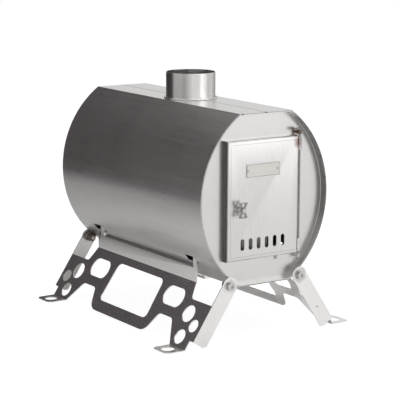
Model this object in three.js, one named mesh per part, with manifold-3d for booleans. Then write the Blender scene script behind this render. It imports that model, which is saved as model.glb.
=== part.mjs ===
// A small stainless wood stove for a tent. A barrel with a flat top, a flat bottom and round sides lies
// along Y on two folding leg frames. A flue collar stands on the flat top, and the front end plate holds
// a fire door with a turn latch and an air slide. Millimetres, +Z up, and the door faces -Y.
// Every piece is worked out around the middle of the barrel, and the whole stove is set on its feet last.
import * as THREE from "three";
import { mergeVertices } from "three/addons/utils/BufferGeometryUtils.js";
import Module from "manifold-3d";

// ---------- Clearances ----------
const GAP = 0.3; // between pieces that touch
const CUT_PAST = 1; // how far a cutting tool reaches past what it cuts
const SIDE_FACETS = 14; // flat strips in each round side of the barrel
const RUNNING = 0.35; // around a shaft in its hole and a piece in its slide

// ---------- Barrel ----------
const BARREL_LENGTH = 424;
const BARREL_WIDTH = 238;
const BARREL_HEIGHT = 267;
const SIDE_RADIUS = 161;
const SHELL_SHEET = 1;
const SEAM_WIDTH = 0.6; // the open line where the two edges of the shell sheet meet
const SEAM_STRIP_WIDTH = 16;
const SEAM_STRIP_SHEET = 1;
const END_SHEET = 1.2;
const END_RECESS = 12; // how far the end plates lie behind the rims

// ---------- Flue collar ----------
const COLLAR_DIAMETER = 80;
const COLLAR_SHEET = 1;
const COLLAR_HEIGHT = 42.6;
const COLLAR_DEPTH = 10; // inside the barrel
const COLLAR_Y = -4;
const RING_WIDTH = 2.8;
const RING_HEIGHT = 2;

// ---------- Fire door ----------
const DOOR_WIDTH = 134;
const DOOR_HEIGHT = 186;
const DOOR_X = -3.7;
const DOOR_SHEET = 1.2;
const DOOR_EDGE = 4; // radius of the bend round the door's face
const DOOR_LAP = 11; // how far the door covers the end plate round its opening
const OPENING_CORNER = 12;
const SLOT_COUNT = 6;
const SLOT_PITCH = 15.2;
const SLOT_WIDTH = 7;
const SLOT_HEIGHT = 18;
const SLOTS_X = -4;
const SLOTS_RISE = 25; // from the door's lower edge to the slots' middle
const NAME_PLATE_WIDTH = 63;
const NAME_PLATE_HEIGHT = 21;
const NAME_PLATE_SHEET = 0.6;
const NAME_PLATE_CORNER = 1;
const NAME_PLATE_X = -4.5;
const NAME_PLATE_DROP = 47.8; // from the door's upper edge to the plate's middle
const RIVET_RADIUS = 1.1;
const RIVET_HEAD_RADIUS = 1.9;
const RIVET_HEAD_HEIGHT = 0.8;
const RIVET_INSET = 3.6;

// ---------- Air slide and heat shield behind the door face ----------
const SLIDE_SHEET = 1;
const SLIDE_MARGIN = 3.5; // of the slide plate past its slots, above and below
const SLIDE_END = 7; // of the slide plate past its outer slots
const SLIDE_TAB_WIDTH = 6;
const SLIDE_TAB_X = 22;
const SLIDE_TAB_REACH = 4.5; // below the door
const GUIDE_SHEET = 1;
const GUIDE_WIDTH = 3;
const GUIDE_OVERLAP = 2; // over the edge of the slide
const SHIELD_SHEET = 1;
const SHIELD_LIP = 5;
const SHIELD_BACK_GAP = 0.9; // from the shield to the rear edge of the door
const SHIELD_WINDOW_FIRST = 4; // the shield is open from this slot on, counted from 0

// ---------- Latch ----------
const SPINDLE_INSET = 22.1; // from the door's left edge to the spindle's axis
const SPINDLE_Z = -12;
const SPINDLE_RADIUS = 2.5;
const SPACER_RADIUS = 4.4;
const SPACER_LENGTH = 8;
const WING_LENGTH = 24;
const WING_WIDTH = 17;
const WING_WAIST = 9;
const WING_SHEET = 1.6;
const WING_HOLE_WIDTH = 5;
const WING_HOLE_LENGTH = 5.4;
const SPINDLE_HEAD_RADIUS = 3.6;
const SPINDLE_HEAD_HEIGHT = 2;
const LATCH_WASHER_RADIUS = 6;
const LATCH_WASHER_SHEET = 1;
const CAM_LENGTH = 17; // from the spindle's axis to the cam's tip
const CAM_WIDTH = 9;
const CAM_SHEET = 2;
const CAM_CLEARANCE = 0.8; // behind the end plate
const LATCH_NUT_RADIUS = 4.6;
const LATCH_NUT_HEIGHT = 4;
const SPINDLE_END = 1.5; // past the nut

// ---------- Hinge ----------
const PIN_RADIUS = 1.8;
const PIN_ARM = 11;
const KNUCKLE_WALL = 1.1;
const KNUCKLE_LENGTH = 20;
const KNUCKLE_INSET = 3; // from the door's top and bottom edges
const LUG_LENGTH = 6;
const LUG_NECK = 3;
const LUG_GAP = 1.2; // between a lug and the door
const PIN_END = 1.6; // past the lower lug

// ---------- Leg frames ----------
const LEG_SHEET = 1.5;
const PIVOT_OUT = 11.74; // from the barrel's side to the pivot's axis
const PIVOT_RISE = 5.2; // from the barrel's bottom to the pivot's axis
const LEG_HEIGHT = 92.9; // from the floor to the pivot's axis
const LEG_ANGLE = 56.4; // degrees between the leg plate and the floor
const PLATE_OFFSET = 12.5; // from the pivot's axis to the outer face of the plate
const CREASE_DOWN = 14; // from the pivot's axis down the slope to the crease at the plate's top
const STRIP_INSET = 61.5; // from the barrel's rim to the end of the strip that leans on it
const STRIP_HEIGHT = 22;
const LIP_RUN = 3;
const LIP_RISE = 6;
const TAB_WIDTH = 10;
const TAB_RISE = 38.5; // from the crease to the tab's tip
const TAB_INSETS = { front: 4.5, rear: 13.5 }; // from the strip's ends to the tabs' middles
const TAB_SLOT_LENGTH = 27;
const TAB_SLOT_ABOVE = 2; // above the tab's tip
const TAB_SLOT_BELOW = 1;
const EAR_RADIUS = 13.5;
const EAR_CLEARANCE = 0.6; // from the rim to the nearer ear
const FLANGE_END = 88; // down the slope from the crease
const FLANGE_FOOT_GAP = 3.7; // from the flange's lower edge to the floor
const SCREW_HOLE_RADIUS = 1.8;
const SCREW_HOLE_DOWN = 66;
const SCREW_HOLE_ACROSS = -1.5;
const NOTCH_DEPTH = 26.5;
const NOTCH_SLANT = 9;
const NOTCH_CORNER = 4;
const NECK_INSET = 6.5; // from the barrel's rim to the plate's outer edge
const FOOT_WIDTH = 41;
const RECESS_TOP = 65.5;
const RECESS_INSET = 68; // from the plate's outer edge
const RECESS_WIDTH = 38;
const RECESS_CORNER = 6;
const LOOP_BOTTOM = 101.4;
const LOOP_INSET = 16; // from the recess to the loop's side
const LOOP_CORNER = 15;
const WINDOW_TOP = 12.8;
const WINDOW_BOTTOM = 82;
const LOOP_SIDE_TOP = 14.5; // width of the sheet beside the window, at its top
const LOOP_SIDE_BOTTOM = 11; // and at its bottom
const WINDOW_CORNER = 11;
// Insets are from the plate's outer edge to the hole's middle.
const BIG_HOLE = { inset: 91.5, down: 32.7, half: 26.8, flatHalf: 13.4, halfHeight: 16.1 };
const ROUND_HOLES = [
  { inset: 34.8, down: 49.7, radius: 14.3 },
  { inset: 9, down: 64.9, radius: 10.6 },
  { inset: 27.7, down: 87.5, radius: 12.2 },
];
const PAD_LENGTH = 32;
const PAD_CORNER = 9;
const PAD_HOLE_RADIUS = 10.5;

// ---------- Pivots ----------
const BOLT_RADIUS = 3;
const BOLT_HEAD_RADIUS = 6.4;
const BOLT_HEAD_HEIGHT = 4;
const BOLT_SOCKET_RADIUS = 2.9;
const BOLT_SOCKET_DEPTH = 2.4;
const PIVOT_WASHER_RADIUS = 7.4;
const PIVOT_WASHER_SHEET = 1;
const BRACKET_SHEET = 3;
const BRACKET_RADIUS = 7;
const PIVOT_NUT_RADIUS = 6.6;
const PIVOT_NUT_HEIGHT = 7;
const BOLT_END = 1.5; // past the nut

// ---------- Values worked out from the sizes above ----------
const TOP = BARREL_HEIGHT / 2;
const FRONT = -BARREL_LENGTH / 2;
const ARC_CENTRE = SIDE_RADIUS - BARREL_WIDTH / 2; // each side's centre, past the middle on the other side
const PLATE_FACE = FRONT + END_RECESS; // the front end plate's outer face
const PLATE_BACK = PLATE_FACE + END_SHEET;
const DOOR_LEFT = DOOR_X - DOOR_WIDTH / 2;
const DOOR_RIGHT = DOOR_X + DOOR_WIDTH / 2;
const SPINDLE_X = DOOR_LEFT + SPINDLE_INSET;
const DOOR_BACK = PLATE_FACE - GAP;
const DOOR_INSIDE = FRONT + DOOR_SHEET;
const COLLAR_RADIUS = COLLAR_DIAMETER / 2;
const KNUCKLE_RADIUS = PIN_RADIUS + RUNNING + KNUCKLE_WALL;
const HINGE_X = DOOR_RIGHT + GAP + KNUCKLE_RADIUS;
const HINGE_Y = FRONT + GAP + KNUCKLE_RADIUS;
const SLOTS_Z = SLOTS_RISE - DOOR_HEIGHT / 2;
const NAME_PLATE_Z = DOOR_HEIGHT / 2 - NAME_PLATE_DROP;
const SLOTS_SPAN = (SLOT_COUNT - 1) * SLOT_PITCH;
const SLIDE_TRAVEL = SLOT_PITCH / 2;
const SLIDE_FRONT = DOOR_INSIDE + GAP;
const SLIDE_BACK = SLIDE_FRONT + SLIDE_SHEET;
const SLIDE_HALF_HEIGHT = SLOT_HEIGHT / 2 + SLIDE_MARGIN;
const SHIELD_BACK = DOOR_BACK - SHIELD_BACK_GAP;
const PIVOT_Z = PIVOT_RISE - TOP;
const PIVOT_X = Math.sqrt(SIDE_RADIUS ** 2 - PIVOT_Z ** 2) - ARC_CENTRE + PIVOT_OUT;
const FLOOR_Z = PIVOT_Z - LEG_HEIGHT;
const STRIP_HALF = BARREL_LENGTH / 2 - STRIP_INSET;
const TAB_YS = [TAB_INSETS.front - STRIP_HALF, STRIP_HALF - TAB_INSETS.rear];
const NECK_HALF = BARREL_LENGTH / 2 - NECK_INSET;
const FOOT_IN = NECK_HALF - FOOT_WIDTH;
const RECESS_OUT = NECK_HALF - RECESS_INSET;
const RECESS_IN = RECESS_OUT - RECESS_WIDTH;
const LOOP_HALF = RECESS_IN - LOOP_INSET;
const WINDOW_TOP_HALF = LOOP_HALF - LOOP_SIDE_TOP;
const WINDOW_BOTTOM_HALF = LOOP_HALF - LOOP_SIDE_BOTTOM;
const BIG_HOLE_Y = NECK_HALF - BIG_HOLE.inset;
const LEG_SLOPE = THREE.MathUtils.degToRad(LEG_ANGLE);
const LEG_DOWN = new THREE.Vector3(-Math.cos(LEG_SLOPE), 0, -Math.sin(LEG_SLOPE)); // of the left leg
const LEG_OUT = new THREE.Vector3(-Math.sin(LEG_SLOPE), 0, Math.cos(LEG_SLOPE));
const ALONG_BARREL = new THREE.Vector3(0, 1, 0);
const LEFT_PIVOT = new THREE.Vector3(-PIVOT_X, 0, PIVOT_Z);
const CREASE = LEFT_PIVOT.clone()
  .addScaledVector(LEG_OUT, PLATE_OFFSET)
  .addScaledVector(LEG_DOWN, CREASE_DOWN);
const SLOPE_LENGTH = (CREASE.z - FLOOR_Z) / Math.sin(LEG_SLOPE);
const RIGHT_EAR = BARREL_LENGTH / 2 + EAR_CLEARANCE; // the ear's inner face, from the middle
const LEFT_EAR = RIGHT_EAR + LEG_SHEET + GAP; // the left frame folds over the right one
const LEGS = { left: { side: -1, ear: LEFT_EAR }, right: { side: 1, ear: RIGHT_EAR } };
const SHEET_OPTIONS = { depth: LEG_SHEET, bevelEnabled: false };
const ENDS = { front: -1, rear: 1 };

// ---------- Solids ----------
const wasm = await Module();
wasm.setup();

// A closed geometry as a solid that can be joined and cut.
function solid(geometry) {
  const bare = geometry.clone();
  bare.deleteAttribute("normal");
  bare.deleteAttribute("uv");
  const merged = mergeVertices(bare, 1e-4);
  return new wasm.Manifold(
    new wasm.Mesh({
      numProp: 3,
      vertProperties: new Float32Array(merged.attributes.position.array),
      triVerts: new Uint32Array(merged.index.array),
    }),
  );
}

function geometryOf(body) {
  const mesh = body.getMesh();
  const geometry = new THREE.BufferGeometry();
  geometry.setAttribute("position", new THREE.BufferAttribute(mesh.vertProperties, 3));
  geometry.setIndex(new THREE.BufferAttribute(mesh.triVerts, 1));
  return geometry;
}

function join(...geometries) {
  return geometryOf(geometries.map(solid).reduce((all, next) => all.add(next)));
}

function cut(geometry, ...tools) {
  return geometryOf(tools.map(solid).reduce((rest, tool) => rest.subtract(tool), solid(geometry)));
}

// Mirrors a geometry from the left side of the stove to the right, with its faces still pointing out.
function mirrored(geometry) {
  const copy = geometry.clone().scale(-1, 1, 1);
  const index = copy.index.array;
  for (let i = 0; i < index.length; i += 3) {
    [index[i + 1], index[i + 2]] = [index[i + 2], index[i + 1]];
  }
  return copy;
}

// An outline drawn in X and Z, made solid between two places along Y.
function alongY(shape, from, to, curveSegments = 8) {
  return new THREE.ExtrudeGeometry(shape, { depth: to - from, bevelEnabled: false, curveSegments })
    .rotateX(Math.PI / 2)
    .translate(0, to, 0);
}

// An outline drawn in X and Y, made solid between two heights.
function alongZ(shape, from, to, curveSegments = 8) {
  const depth = to - from;
  const options = { depth, bevelEnabled: false, curveSegments };
  return new THREE.ExtrudeGeometry(shape, options).translate(0, 0, from);
}

// An outline drawn in Y and Z, made solid between two places along X.
function alongX(shape, from, to) {
  const turn = new THREE.Matrix4().makeBasis(
    new THREE.Vector3(0, 1, 0),
    new THREE.Vector3(0, 0, 1),
    new THREE.Vector3(1, 0, 0),
  );
  const options = { depth: to - from, bevelEnabled: false };
  return new THREE.ExtrudeGeometry(shape, options).applyMatrix4(turn).translate(from, 0, 0);
}

function block(x0, x1, y0, y1, z0, z1) {
  const box = new THREE.BoxGeometry(x1 - x0, y1 - y0, z1 - z0);
  return box.translate((x0 + x1) / 2, (y0 + y1) / 2, (z0 + z1) / 2);
}

// A round bar or, with six sides, a nut between two places along Y.
function bar(radius, y0, y1, x, z, sides = 24) {
  return new THREE.CylinderGeometry(radius, radius, y1 - y0, sides).translate(x, (y0 + y1) / 2, z);
}

function upright(radius, z0, z1, x, y, sides = 24) {
  return bar(radius, z0, z1, 0, 0, sides).rotateX(Math.PI / 2).translate(x, y, 0);
}

// A tube round an upright axis.
function uprightTube(inner, outer, z0, z1, x, y, sides) {
  const profile = [
    [inner, z0],
    [outer, z0],
    [outer, z1],
    [inner, z1],
    [inner, z0],
  ].map(([r, z]) => new THREE.Vector2(r, z));
  return new THREE.LatheGeometry(profile, sides).rotateX(Math.PI / 2).translate(x, y, 0);
}

// The same tube lying along Y.
function lyingTube(inner, outer, y0, y1, x, z, sides = 24) {
  return uprightTube(inner, outer, -y1, -y0, 0, 0, sides).rotateX(Math.PI / 2).translate(x, 0, z);
}

// A closed outline through corners [x, y, r]. Each is rounded by a curve that starts r before it.
function roundedOutline(corners) {
  const shape = new THREE.Shape();
  corners.forEach(([x, y, r], i) => {
    const corner = new THREE.Vector2(x, y);
    const towards = ([px, py]) => new THREE.Vector2(px, py).sub(corner).setLength(r).add(corner);
    const start = towards(corners.at(i - 1));
    const end = towards(corners[(i + 1) % corners.length]);
    if (i === 0) shape.moveTo(start.x, start.y);
    else shape.lineTo(start.x, start.y);
    if (r > 0) shape.quadraticCurveTo(x, y, end.x, end.y);
  });
  shape.closePath();
  return shape;
}

function roundedBox(x, z, width, height, corner) {
  const corners = [
    [1, 1],
    [-1, 1],
    [-1, -1],
    [1, -1],
  ].map(([i, j]) => [x + (i * width) / 2, z + (j * height) / 2, corner]);
  return roundedOutline(corners);
}

// An upright slot with half-round ends.
function slot(x, z, width, height) {
  const shape = new THREE.Shape();
  const straight = (height - width) / 2;
  shape.absarc(x, z + straight, width / 2, 0, Math.PI, false);
  shape.absarc(x, z - straight, width / 2, Math.PI, 2 * Math.PI, false);
  return shape;
}

// The outline of a sheet bent along a line: the line, and its copy one thickness to the left of it.
function bentSheet(points, thickness) {
  const line = points.map(([x, y]) => new THREE.Vector2(x, y));
  const leftOf = (a, b) => new THREE.Vector2(a.y - b.y, b.x - a.x).normalize();
  const copy = line.map((point, i) => {
    const normals = [];
    if (i > 0) normals.push(leftOf(line[i - 1], point));
    if (i < line.length - 1) normals.push(leftOf(point, line[i + 1]));
    const mean = normals.reduce((sum, n) => sum.clone().add(n)).clone().normalize();
    return point.clone().addScaledVector(mean, thickness / mean.dot(normals[0]));
  });
  return new THREE.Shape([...line, ...copy.reverse()]);
}

// ---------- Barrel ----------
// The barrel's cross-section, pulled in by inset: flat top and bottom, round sides.
function barrelOutline(inset) {
  const radius = SIDE_RADIUS - inset;
  const angle = Math.asin((TOP - inset) / radius);
  const shape = new THREE.Shape();
  shape.absarc(-ARC_CENTRE, 0, radius, angle, -angle, true);
  shape.absarc(ARC_CENTRE, 0, radius, Math.PI + angle, Math.PI - angle, true);
  return shape;
}

// How far below the middle the barrel's side lies at a distance x from its middle plane.
function sideDepth(x, inset) {
  return Math.sqrt((SIDE_RADIUS - inset) ** 2 - (x + ARC_CENTRE) ** 2);
}

// A length of tube of the barrel's cross-section, between two insets.
function barrelTube(outside, inside, from, to) {
  const bore = alongY(barrelOutline(inside), from - CUT_PAST, to + CUT_PAST, SIDE_FACETS);
  return cut(alongY(barrelOutline(outside), from, to, SIDE_FACETS), bore);
}

function barrelShell() {
  const reach = 2 * SHELL_SHEET;
  const flueHole = upright(COLLAR_RADIUS + GAP, TOP - reach, TOP + reach, 0, COLLAR_Y, 48);
  const half = SEAM_WIDTH / 2;
  const seam = block(-half, half, FRONT - reach, -FRONT + reach, TOP - reach, TOP + reach);
  const tabX = -CREASE.x;
  const low = -sideDepth(tabX - LEG_SHEET, 0) - TAB_SLOT_BELOW;
  const high = CREASE.z + TAB_RISE + TAB_SLOT_ABOVE;
  const outer = BARREL_WIDTH / 2;
  const inner = tabX - LEG_SHEET - TAB_SLOT_LENGTH;
  const tabSlots = TAB_YS.flatMap((y) => {
    const start = y - TAB_WIDTH / 2 - RUNNING;
    const end = start + TAB_SLOT_LENGTH;
    return [block(-outer, -inner, start, end, low, high), block(inner, outer, start, end, low, high)];
  });
  return cut(barrelTube(0, SHELL_SHEET, FRONT, -FRONT), flueHole, seam, ...tabSlots);
}

function seamStrip(end) {
  const plateInside = PLATE_BACK + GAP;
  const z1 = TOP - SHELL_SHEET - GAP;
  const half = SEAM_STRIP_WIDTH / 2;
  const collar = COLLAR_RADIUS + 2 * GAP;
  const [y0, y1] = end < 0 ? [plateInside, COLLAR_Y - collar] : [COLLAR_Y + collar, -plateInside];
  return block(-half, half, y0, y1, z1 - SEAM_STRIP_SHEET, z1);
}

// A pan that fits in the end of the shell: the plate, and a flange that runs out to the rim.
function endPan(end) {
  const inset = SHELL_SHEET + GAP;
  const [rim, face, back] = [FRONT, PLATE_FACE, PLATE_BACK].map((y) => Math.abs(y) * end);
  const plateSpan = [Math.min(face, back), Math.max(face, back)];
  const flangeSpan = [Math.min(rim, back), Math.max(rim, back)];
  const plate = alongY(barrelOutline(inset), ...plateSpan, SIDE_FACETS);
  return join(plate, barrelTube(inset, inset + END_SHEET, ...flangeSpan));
}

function frontEndPlate() {
  const width = DOOR_WIDTH - 2 * DOOR_LAP;
  const height = DOOR_HEIGHT - 2 * DOOR_LAP;
  const opening = roundedBox(DOOR_X, 0, width, height, OPENING_CORNER);
  return cut(endPan(ENDS.front), alongY(opening, PLATE_FACE - END_SHEET, PLATE_BACK + END_SHEET));
}

// ---------- Door ----------
// The door as a solid block with a rounded front edge, pulled in by inset on every side and in front.
function doorBlock(inset) {
  const edge = DOOR_EDGE - inset;
  const shape = roundedBox(DOOR_X, 0, DOOR_WIDTH - 2 * DOOR_EDGE, DOOR_HEIGHT - 2 * DOOR_EDGE, 0);
  const depth = END_RECESS;
  const bevel = { bevelEnabled: true, bevelSize: edge, bevelThickness: edge, bevelSegments: 4 };
  return new THREE.ExtrudeGeometry(shape, { depth, ...bevel })
    .rotateX(Math.PI / 2)
    .translate(0, FRONT + DOOR_EDGE + depth, 0);
}

function slotXs() {
  return Array.from({ length: SLOT_COUNT }, (_, i) => SLOTS_X - SLOTS_SPAN / 2 + i * SLOT_PITCH);
}

function rivetXs() {
  const reach = NAME_PLATE_WIDTH / 2 - RIVET_INSET;
  return [NAME_PLATE_X - reach, NAME_PLATE_X + reach];
}

function doorPanel() {
  const behind = block(DOOR_LEFT - 1, DOOR_RIGHT + 1, DOOR_BACK, -FRONT, -DOOR_HEIGHT, DOOR_HEIGHT);
  const [before, after] = [FRONT - DOOR_SHEET, DOOR_INSIDE + DOOR_SHEET];
  const slots = slotXs().map((x) => alongY(slot(x, SLOTS_Z, SLOT_WIDTH, SLOT_HEIGHT), before, after));
  const rivetHoles = rivetXs().map((x) => bar(RIVET_RADIUS + GAP, before, after, x, NAME_PLATE_Z, 12));
  const spindleHole = bar(SPINDLE_RADIUS + RUNNING, before, after, SPINDLE_X, SPINDLE_Z);
  const tabHalf = SLIDE_TAB_WIDTH / 2 + RUNNING;
  const bottom = -DOOR_HEIGHT / 2;
  const tabSlit = block(
    SLIDE_TAB_X - tabHalf,
    SLIDE_TAB_X + tabHalf + SLIDE_TRAVEL,
    DOOR_INSIDE,
    SLIDE_BACK + RUNNING,
    bottom - DOOR_SHEET,
    bottom + DOOR_EDGE,
  );
  return cut(doorBlock(0), doorBlock(DOOR_SHEET), behind, ...slots, ...rivetHoles, spindleHole, tabSlit);
}

function namePlate() {
  const y1 = FRONT - GAP;
  const y0 = y1 - NAME_PLATE_SHEET;
  const outline = roundedBox(
    NAME_PLATE_X,
    NAME_PLATE_Z,
    NAME_PLATE_WIDTH,
    NAME_PLATE_HEIGHT,
    NAME_PLATE_CORNER,
  );
  const sheet = alongY(outline, y0, y1);
  const [before, after] = [y0 - NAME_PLATE_SHEET, y1 + NAME_PLATE_SHEET];
  return cut(sheet, ...rivetXs().map((x) => bar(RIVET_RADIUS + GAP, before, after, x, NAME_PLATE_Z, 12)));
}

function rivet(x) {
  const headBack = FRONT - 2 * GAP - NAME_PLATE_SHEET;
  const head = bar(RIVET_HEAD_RADIUS, headBack - RIVET_HEAD_HEIGHT, headBack, x, NAME_PLATE_Z, 16);
  const shank = bar(RIVET_RADIUS, headBack - RIVET_HEAD_HEIGHT / 2, DOOR_INSIDE + GAP, x, NAME_PLATE_Z, 12);
  return join(head, shank);
}

function airSlide() {
  const half = SLOTS_SPAN / 2 + SLOT_WIDTH / 2 + SLIDE_END;
  const low = SLOTS_Z - SLIDE_HALF_HEIGHT;
  const high = SLOTS_Z + SLIDE_HALF_HEIGHT;
  const plate = block(SLOTS_X - half, SLOTS_X + half, SLIDE_FRONT, SLIDE_BACK, low, high);
  const tabHalf = SLIDE_TAB_WIDTH / 2;
  const tip = -DOOR_HEIGHT / 2 - SLIDE_TAB_REACH;
  const overlap = SLIDE_MARGIN / 2;
  const [left, right] = [SLIDE_TAB_X - tabHalf, SLIDE_TAB_X + tabHalf];
  const tab = block(left, right, SLIDE_FRONT, SLIDE_BACK, tip, low + overlap);
  const [before, after] = [SLIDE_FRONT - SLIDE_SHEET, SLIDE_BACK + SLIDE_SHEET];
  const slots = slotXs().map((x) => alongY(slot(x, SLOTS_Z, SLOT_WIDTH, SLOT_HEIGHT), before, after));
  return cut(join(plate, tab), ...slots);
}

// A rail on the door's inner face. Its lip reaches behind the edge of the air slide.
function slideGuide(side, x0, x1) {
  const edge = SLOTS_Z + side * (SLIDE_HALF_HEIGHT + RUNNING);
  const far = edge + side * GUIDE_WIDTH;
  const lipEnd = edge - side * GUIDE_OVERLAP;
  const [foot, lip] = [DOOR_INSIDE + GAP, SLIDE_BACK + RUNNING];
  const back = lip + GUIDE_SHEET;
  const corners = [
    [foot, edge],
    [lip, edge],
    [lip, lipEnd],
    [back, lipEnd],
    [back, far],
    [foot, far],
  ].map(([y, z]) => new THREE.Vector2(y, z));
  return alongX(new THREE.Shape(corners), x0, x1);
}

function heatShield() {
  const wall = DOOR_SHEET + GAP;
  const [x0, x1] = [DOOR_LEFT + wall, DOOR_RIGHT - wall];
  const z = DOOR_HEIGHT / 2 - wall;
  const front = SHIELD_BACK - SHIELD_SHEET;
  const plate = block(x0, x1, front, SHIELD_BACK, -z, z);
  const lips = [1, -1].map((side) => {
    const [a, b] = [side * z, side * (z - SHIELD_SHEET)];
    return block(x0, x1, front - SHIELD_LIP, SHIELD_BACK, Math.min(a, b), Math.max(a, b));
  });
  const xs = slotXs();
  const open = (SLOT_PITCH - SLOT_WIDTH) / 2;
  const [before, after] = [front - SHIELD_SHEET, SHIELD_BACK + SHIELD_SHEET];
  const window = block(
    xs[SHIELD_WINDOW_FIRST] - SLOT_WIDTH / 2 - open,
    xs.at(-1) + SLOT_WIDTH / 2 + open,
    before,
    after,
    SLOTS_Z - SLIDE_HALF_HEIGHT,
    SLOTS_Z + SLIDE_HALF_HEIGHT,
  );
  const spindleHole = bar(SPINDLE_RADIUS + 2 * RUNNING, before, after, SPINDLE_X, SPINDLE_Z);
  return cut(join(plate, ...lips), window, spindleHole);
}

// ---------- Latch ----------
const LATCH_WASHER_FRONT = FRONT - GAP - LATCH_WASHER_SHEET;
const SPACER_FRONT = LATCH_WASHER_FRONT - GAP - SPACER_LENGTH;
const WING_BACK = SPACER_FRONT - GAP;
const WING_FRONT = WING_BACK - WING_SHEET;
const CAM_FRONT = PLATE_BACK + CAM_CLEARANCE;
const CAM_BACK = CAM_FRONT + CAM_SHEET;
const NUT_FRONT = CAM_BACK + GAP;
const NUT_BACK = NUT_FRONT + LATCH_NUT_HEIGHT;

function latchWing() {
  const [end, waist, half] = [WING_WIDTH / 2, WING_WAIST / 2, WING_LENGTH / 2];
  const quarter = [
    [end, half, 3],
    [waist, waist, 2],
  ];
  const right = [...quarter, ...quarter.map(([x, z, r]) => [x, -z, r]).reverse()];
  const left = right.map(([x, z, r]) => [-x, z, r]).reverse();
  const outline = roundedOutline([...right, ...left].map(([x, z, r]) => [SPINDLE_X + x, SPINDLE_Z + z, r]));
  const [before, after] = [WING_FRONT - WING_SHEET, WING_BACK + WING_SHEET];
  const middle = (half + waist) / 2;
  const holes = [middle, -middle].map((z) => {
    return alongY(slot(SPINDLE_X, SPINDLE_Z + z, WING_HOLE_WIDTH, WING_HOLE_LENGTH), before, after);
  });
  const bore = bar(SPINDLE_RADIUS + GAP, before, after, SPINDLE_X, SPINDLE_Z);
  return cut(alongY(outline, WING_FRONT, WING_BACK), ...holes, bore);
}

function latchSpindle() {
  const headBack = WING_FRONT - GAP;
  const shaftFront = headBack - SPINDLE_HEAD_HEIGHT / 2;
  const shaft = bar(SPINDLE_RADIUS, shaftFront, NUT_BACK + SPINDLE_END, SPINDLE_X, SPINDLE_Z);
  const head = bar(SPINDLE_HEAD_RADIUS, headBack - SPINDLE_HEAD_HEIGHT, headBack, SPINDLE_X, SPINDLE_Z);
  return join(shaft, head);
}

// At rest the cam stands upright inside the opening. A quarter turn takes its tip behind the end plate.
function latchCam() {
  const half = CAM_WIDTH / 2;
  const [x, z] = [SPINDLE_X, SPINDLE_Z];
  const outline = roundedOutline([
    [x + half, z + CAM_LENGTH, 2],
    [x - half, z + CAM_LENGTH, 2],
    [x - half, z - half, 3],
    [x + half, z - half, 3],
  ]);
  const bore = bar(SPINDLE_RADIUS + GAP, CAM_FRONT - CAM_SHEET, CAM_BACK + CAM_SHEET, x, z);
  return cut(alongY(outline, CAM_FRONT, CAM_BACK), bore);
}

// ---------- Hinge ----------
const LUG_START = DOOR_HEIGHT / 2 + LUG_GAP; // above and below the middle
const LUG_END = LUG_START + LUG_LENGTH;

function doorKnuckle(side) {
  const far = side * (DOOR_HEIGHT / 2 - KNUCKLE_INSET);
  const near = far - side * KNUCKLE_LENGTH;
  const inner = PIN_RADIUS + RUNNING;
  return uprightTube(inner, KNUCKLE_RADIUS, Math.min(near, far), Math.max(near, far), HINGE_X, HINGE_Y, 20);
}

// An eye for the hinge pin, with a neck back to the end plate.
function hingeLug(side) {
  const [a, b] = [side * LUG_START, side * LUG_END];
  const [low, high] = [Math.min(a, b), Math.max(a, b)];
  const eye = upright(KNUCKLE_RADIUS, low, high, HINGE_X, HINGE_Y, 20);
  const half = LUG_NECK / 2;
  const neck = block(HINGE_X - half, HINGE_X + half, HINGE_Y, PLATE_FACE - GAP, low, high);
  const bore = upright(PIN_RADIUS + RUNNING, low - 1, high + 1, HINGE_X, HINGE_Y, 20);
  return cut(join(eye, neck), bore);
}

// A rod with its top end bent over, so that it can be pulled out.
function hingePin() {
  const top = LUG_END + GAP + PIN_RADIUS;
  const rod = upright(PIN_RADIUS, -LUG_END - PIN_END, top, HINGE_X, HINGE_Y, 16);
  const arm = bar(PIN_RADIUS, -PIN_ARM, 0, 0, 0, 16).rotateZ(-Math.PI / 2).translate(HINGE_X, HINGE_Y, top);
  const elbow = new THREE.SphereGeometry(PIN_RADIUS, 16, 8).translate(HINGE_X, HINGE_Y, top);
  return join(rod, arm, elbow);
}

// ---------- Leg frames ----------
// A point of the left leg as [x, z]: down the slope from the crease, and in from the plate's outer face.
function legPoint(down, inwards) {
  const point = CREASE.clone().addScaledVector(LEG_DOWN, down).addScaledVector(LEG_OUT, -inwards);
  return [point.x, point.z];
}

function plateOutline(half) {
  const right = [
    [STRIP_HALF, 0, 0],
    [STRIP_HALF + NOTCH_SLANT, NOTCH_DEPTH, NOTCH_CORNER],
    [half, NOTCH_DEPTH, 0],
    [half, FLANGE_END, 0],
    [NECK_HALF, FLANGE_END, 0],
    [NECK_HALF, SLOPE_LENGTH, 0],
    [FOOT_IN, SLOPE_LENGTH, 0],
    [RECESS_OUT, RECESS_TOP, RECESS_CORNER],
    [RECESS_IN, RECESS_TOP, RECESS_CORNER],
    [LOOP_HALF, LOOP_BOTTOM, LOOP_CORNER],
  ];
  const left = right.map(([y, down, r]) => [-y, down, r]).reverse();
  return roundedOutline([...right, ...left]);
}

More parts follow.
